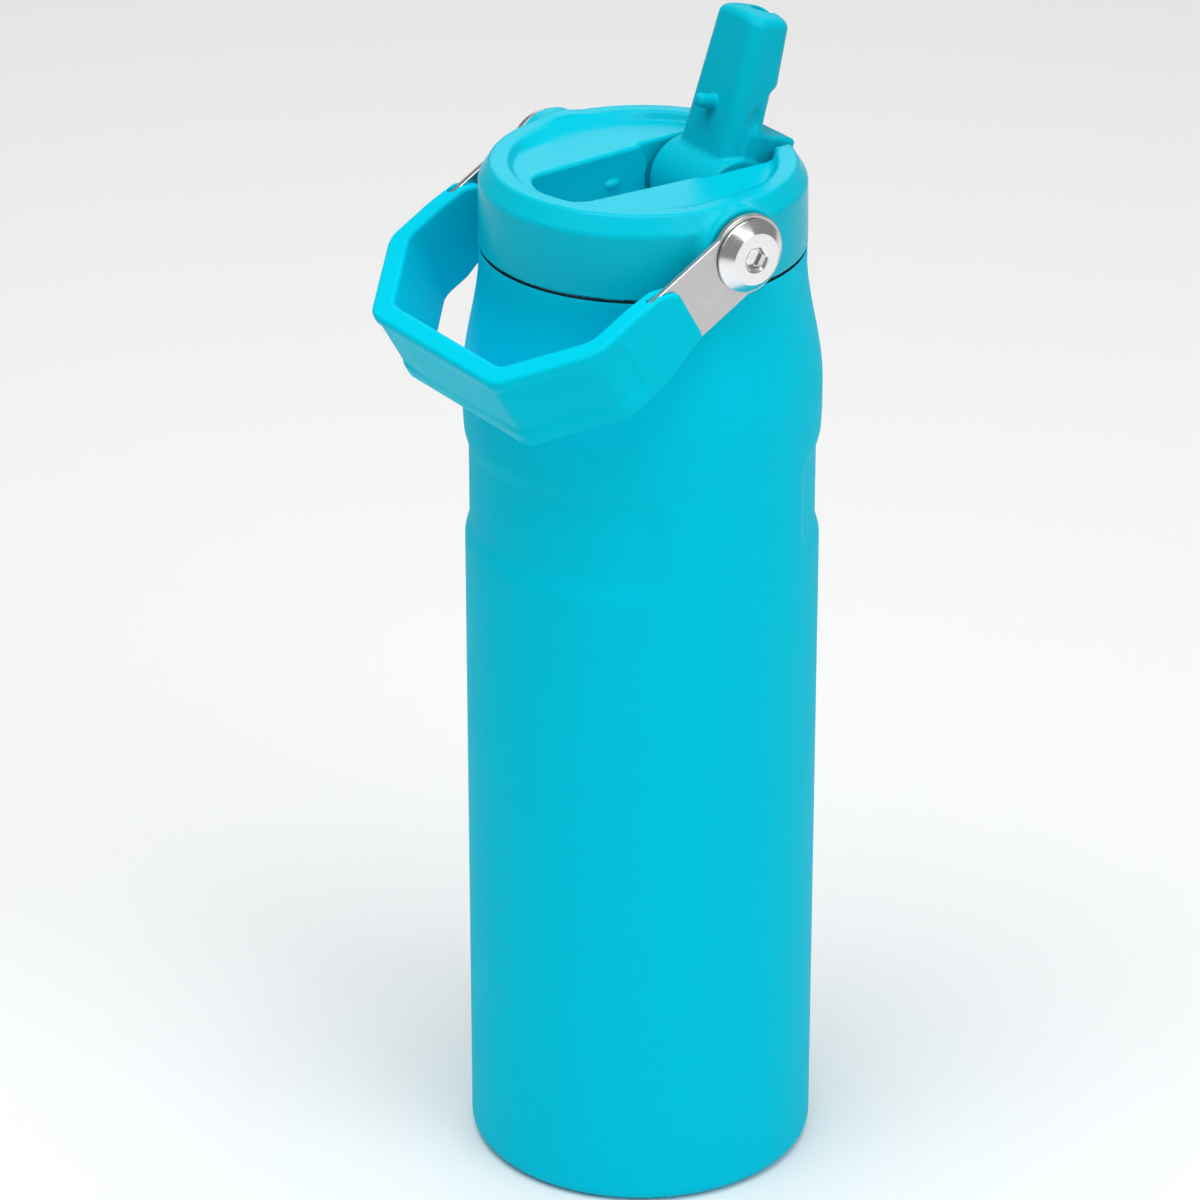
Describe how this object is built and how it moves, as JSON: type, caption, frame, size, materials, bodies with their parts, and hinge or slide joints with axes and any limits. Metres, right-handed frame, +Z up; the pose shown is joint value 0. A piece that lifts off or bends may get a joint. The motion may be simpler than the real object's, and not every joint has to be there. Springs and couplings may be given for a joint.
{
  "type": "insulated water bottle",
  "caption": "Vacuum-insulated steel drinking bottle with a screw-on straw lid, a flip-up spout and a swinging carry loop.",
  "frame": {"origin": "centre of the flat base, in the plane it stands on", "axes": "+Z up the bottle's axis, -Y towards the side the handle hangs on and the spout folds to, X along the handle's pivots"},
  "size_m": [0.081, 0.0917, 0.2592],
  "materials": {
    "powder_coat": "matt powder coat",
    "port_disc": "matt powder coat",
    "plug": "matt",
    "inner_metal": "plain",
    "steel_inside": "satin",
    "seal_silicone": "matt silicone",
    "lid_plastic": "fine satin",
    "core_plastic": "translucent white",
    "valve_silicone": "matt silicone",
    "grommet_silicone": "matt silicone",
    "spout_plastic": "fine satin",
    "saddle_silicone": "matt silicone",
    "sleeve_silicone": "matt silicone",
    "straw_plastic": "translucent white",
    "grip_plastic": "soft-touch satin",
    "pin_steel": "polished",
    "insert_brass": "plain",
    "spacer_nylon": "matt",
    "bush_steel": "plain",
    "screw_steel": "spun face with a polished bevel",
    "arm_steel": "brushed"
  },
  "bodies": {
    "bottle": {"outer_shell": "powder_coat", "base_cup": "powder_coat", "port_cover": "port_disc", "vacuum_plug": "plug", "getter_ring": "inner_metal", "inner_vessel": "steel_inside"},
    "seal_ring": {"lid_seal": "seal_silicone"},
    "lid": {"lid_shell": "lid_plastic", "lid_core": "core_plastic", "vent_valve": "valve_silicone", "vent_grommet": "grommet_silicone", "spout_seal": "saddle_silicone", "straw_sleeve": "sleeve_silicone", "straw": "straw_plastic", "spout_pin_left": "pin_steel", "spout_pin_right": "pin_steel", "pivot_insert_left": "insert_brass", "pivot_insert_right": "insert_brass", "pivot_spacer_left": "spacer_nylon", "pivot_spacer_right": "spacer_nylon", "pivot_bush_left": "bush_steel", "pivot_bush_right": "bush_steel", "pivot_screw_left": "screw_steel", "pivot_screw_right": "screw_steel"},
    "spout": {"spout": "spout_plastic"},
    "handle": {"handle_grip": "grip_plastic", "handle_arm_left": "arm_steel", "handle_arm_right": "arm_steel"}
  },
  "joints": [
    {"name": "lid_rise", "type": "slide", "parent": "bottle", "child": "seal_ring", "axis": [0, 0, 1], "range_m": [0, 0.0101]},
    {"name": "lid_turn", "type": "hinge", "parent": "seal_ring", "child": "lid", "pos_m": [0, 0, 0.2131], "axis": [0, 0, 1], "range_deg": [0, 720]},
    {"name": "spout_flip", "type": "hinge", "parent": "lid", "child": "spout", "pos_m": [0, 0.017, 0.2215], "axis": [1, 0, 0], "range_deg": [0, 107.5]},
    {"name": "handle_swing", "type": "hinge", "parent": "lid", "child": "handle", "pos_m": [0, 0, 0.2222], "axis": [-1, 0, 0], "range_deg": [0, 240]}
  ],
  "couplings": [
    {"joint": "lid_rise", "follows": "lid_turn", "m_per_rad": 0.00079577}
  ]
}
